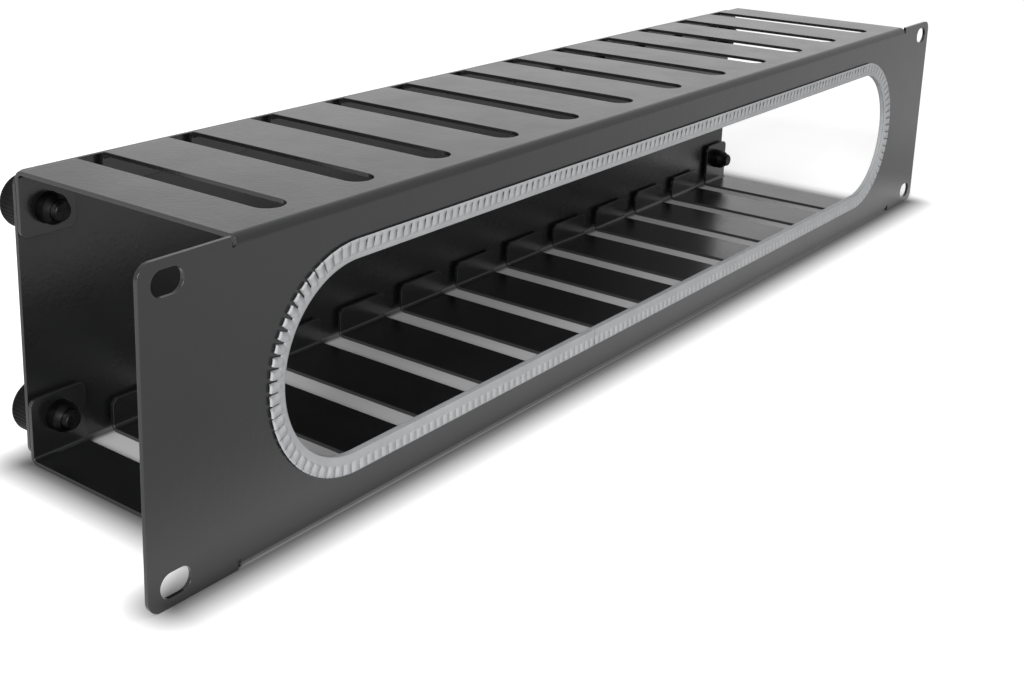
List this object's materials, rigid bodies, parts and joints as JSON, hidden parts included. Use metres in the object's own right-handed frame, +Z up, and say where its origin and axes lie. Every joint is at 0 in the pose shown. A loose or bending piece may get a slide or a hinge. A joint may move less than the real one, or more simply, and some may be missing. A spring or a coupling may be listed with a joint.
{
  "type": "horizontal cable manager",
  "caption": "Folded steel rack panel with a long trimmed cable opening, slotted finger channel behind it and a rear cover held by thumb screws.",
  "frame": {"origin": "centre of the four ear slots, on the rear face of the panel, which bears on the rack's rails", "axes": "+X along the width, +Y to the rear of the rack, +Z up"},
  "size_m": [0.4826, 0.0994, 0.088],
  "materials": {
    "bracket_paint": "satin black powder coat",
    "cover_paint": "satin black powder coat",
    "trim_plastic": "light grey flexible plastic",
    "insert_steel": "dark coated steel",
    "knob_plastic": "black moulded plastic",
    "stud_steel": "plated steel"
  },
  "bodies": {
    "cable_manager": {"front_bracket": "bracket_paint", "rear_cover": "cover_paint", "edge_trim": "trim_plastic", "threaded_insert_left_bottom": "insert_steel", "threaded_insert_right_bottom": "insert_steel", "threaded_insert_left_top": "insert_steel", "threaded_insert_right_top": "insert_steel"},
    "thumb_screw_left_bottom": {"thumb_knob_left_bottom": "knob_plastic", "thumb_stud_left_bottom": "stud_steel"},
    "thumb_screw_right_bottom": {"thumb_knob_right_bottom": "knob_plastic", "thumb_stud_right_bottom": "stud_steel"},
    "thumb_screw_left_top": {"thumb_knob_left_top": "knob_plastic", "thumb_stud_left_top": "stud_steel"},
    "thumb_screw_right_top": {"thumb_knob_right_top": "knob_plastic", "thumb_stud_right_top": "stud_steel"}
  },
  "joints": [
    {"name": "thumb_screw_turn_left_bottom", "type": "hinge", "parent": "cable_manager", "child": "thumb_screw_left_bottom", "pos_m": [-0.2015, 0.088, -0.0315], "axis": [0, 1, 0], "continuous": true},
    {"name": "thumb_screw_turn_right_bottom", "type": "hinge", "parent": "cable_manager", "child": "thumb_screw_right_bottom", "pos_m": [0.2015, 0.088, -0.0315], "axis": [0, 1, 0], "continuous": true},
    {"name": "thumb_screw_turn_left_top", "type": "hinge", "parent": "cable_manager", "child": "thumb_screw_left_top", "pos_m": [-0.2015, 0.088, 0.0315], "axis": [0, 1, 0], "continuous": true},
    {"name": "thumb_screw_turn_right_top", "type": "hinge", "parent": "cable_manager", "child": "thumb_screw_right_top", "pos_m": [0.2015, 0.088, 0.0315], "axis": [0, 1, 0], "continuous": true}
  ]
}
